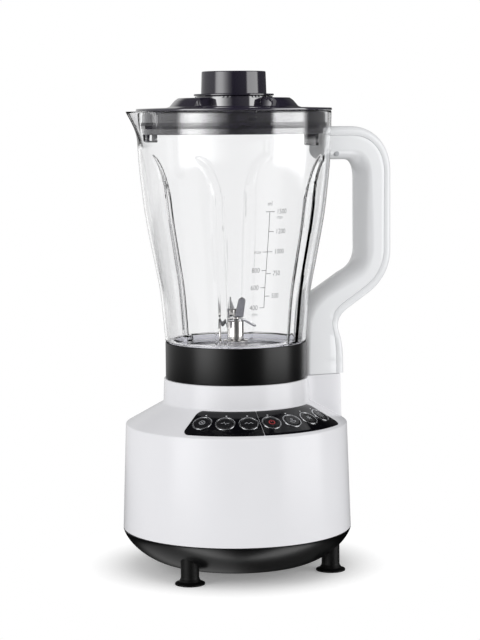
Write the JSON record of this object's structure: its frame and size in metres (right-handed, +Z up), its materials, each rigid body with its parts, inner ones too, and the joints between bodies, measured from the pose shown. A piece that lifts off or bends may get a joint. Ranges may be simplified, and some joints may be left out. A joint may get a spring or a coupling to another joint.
{
  "type": "countertop blender",
  "caption": "Countertop blender: white motor base with a cone shoulder, push buttons and black skirt, clear ribbed jug with a side handle, dark lid and measuring cap.",
  "frame": {"origin": "centre of the bounding box on the surface that the feet stand on", "axes": "+Z up, the front with the buttons faces -Y, the handle points to +X and the spout to -X"},
  "size_m": [0.2364, 0.1948, 0.4206],
  "materials": {
    "housing_white": "smooth gloss",
    "skirt_black": "soft gloss",
    "collar_black": "soft gloss",
    "panel_black": "high gloss",
    "button_black": "high gloss",
    "ring_chrome": "bright",
    "foot_rubber": "matt",
    "gland_rubber": "matt",
    "board_green": "solder resist",
    "nylon_grey": "moulded",
    "switch_black": "moulded",
    "motor_iron": "laminated",
    "winding_copper": "enamelled wire",
    "brush_carbon": "dull",
    "steel_plain": "turned",
    "steel_blade": "ground",
    "seal_rubber": "matt",
    "seal_silicone": "matt",
    "jug_clear": "clear",
    "handle_white": "smooth gloss",
    "lid_smoke": "dark smoke tint"
  },
  "bodies": {
    "base": {"base_housing": "housing_white", "base_skirt": "skirt_black", "panel_left": "panel_black", "panel_right": "panel_black", "button_ring_1": "ring_chrome", "button_ring_2": "ring_chrome", "button_ring_3": "ring_chrome", "button_ring_4": "ring_chrome", "button_ring_5": "ring_chrome", "button_ring_6": "ring_chrome", "button_ring_7": "ring_chrome", "foot_front_left": "foot_rubber", "foot_front_right": "foot_rubber", "foot_rear_right": "foot_rubber", "foot_rear_left": "foot_rubber", "cable_gland": "gland_rubber", "control_board": "board_green", "interlock_switch": "switch_black", "motor_stator": "motor_iron", "field_coil_left": "winding_copper", "field_coil_right": "winding_copper", "brush_left": "brush_carbon", "brush_right": "brush_carbon", "upper_frame": "motor_iron", "lower_frame": "motor_iron", "upper_bearing": "steel_plain", "lower_bearing": "steel_plain", "motor_mount_left": "seal_rubber", "motor_mount_right": "seal_rubber"},
    "rotor": {"motor_shaft": "steel_plain", "motor_armature": "motor_iron", "commutator": "winding_copper", "motor_fan": "nylon_grey", "drive_coupling": "nylon_grey"},
    "jug": {"jug_body": "jug_clear", "jug_collar": "collar_black", "handle_grip": "handle_white", "handle_spine": "handle_white", "handle_screw_upper": "steel_plain", "handle_screw_lower": "steel_plain", "blade_hub": "steel_blade", "jug_seal": "seal_silicone", "blade_gasket": "seal_rubber", "blade_nut": "steel_plain"},
    "blades": {"blade_shaft": "steel_plain", "blade_low_pair": "steel_blade", "blade_tall_pair": "steel_blade", "blade_cap_nut": "steel_blade", "jug_coupling": "switch_black"},
    "lid": {"lid": "lid_smoke", "lid_gasket": "seal_rubber"},
    "cap": {"measuring_cap": "lid_smoke"},
    "pin": {"interlock_pin": "nylon_grey"},
    "key_1": {"button_1": "button_black"},
    "key_2": {"button_2": "button_black"},
    "key_3": {"button_3": "button_black"},
    "key_4": {"button_4": "button_black"},
    "key_5": {"button_5": "button_black"},
    "key_6": {"button_6": "button_black"},
    "key_7": {"button_7": "button_black"}
  },
  "joints": [
    {"name": "jug_lift", "type": "slide", "parent": "base", "child": "jug", "axis": [0, 0, 1], "range_m": [0, 0.12]},
    {"name": "lid_lift", "type": "slide", "parent": "jug", "child": "lid", "axis": [0, 0, 1], "range_m": [0, 0.06]},
    {"name": "cap_lift", "type": "slide", "parent": "lid", "child": "cap", "axis": [0, 0, 1], "range_m": [0, 0.05]},
    {"name": "motor_spin", "type": "hinge", "parent": "base", "child": "rotor", "pos_m": [-0.0208, 0, 0.1], "axis": [0, 0, 1], "continuous": true},
    {"name": "blade_spin", "type": "hinge", "parent": "jug", "child": "blades", "pos_m": [-0.0208, 0, 0.2], "axis": [0, 0, 1], "continuous": true},
    {"name": "pin_press", "type": "slide", "parent": "base", "child": "pin", "axis": [0, 0, -1], "range_m": [0, 0.002], "stiffness_N_per_m": 300},
    {"name": "button_1_press", "type": "slide", "parent": "base", "child": "key_1", "axis": [0.3342, 0.3596, -0.8712], "range_m": [0, 0.001], "stiffness_N_per_m": 500},
    {"name": "button_2_press", "type": "slide", "parent": "base", "child": "key_2", "axis": [0.235, 0.431, -0.8712], "range_m": [0, 0.001], "stiffness_N_per_m": 500},
    {"name": "button_3_press", "type": "slide", "parent": "base", "child": "key_3", "axis": [0.1213, 0.4757, -0.8712], "range_m": [0, 0.001], "stiffness_N_per_m": 500},
    {"name": "button_4_press", "type": "slide", "parent": "base", "child": "key_4", "axis": [0, 0.4909, -0.8712], "range_m": [0, 0.001], "stiffness_N_per_m": 500},
    {"name": "button_5_press", "type": "slide", "parent": "base", "child": "key_5", "axis": [-0.1213, 0.4757, -0.8712], "range_m": [0, 0.001], "stiffness_N_per_m": 500},
    {"name": "button_6_press", "type": "slide", "parent": "base", "child": "key_6", "axis": [-0.235, 0.431, -0.8712], "range_m": [0, 0.001], "stiffness_N_per_m": 500},
    {"name": "button_7_press", "type": "slide", "parent": "base", "child": "key_7", "axis": [-0.3342, 0.3596, -0.8712], "range_m": [0, 0.001], "stiffness_N_per_m": 500}
  ],
  "couplings": [
    {"joint": "blade_spin", "follows": "motor_spin", "ratio": 1}
  ]
}
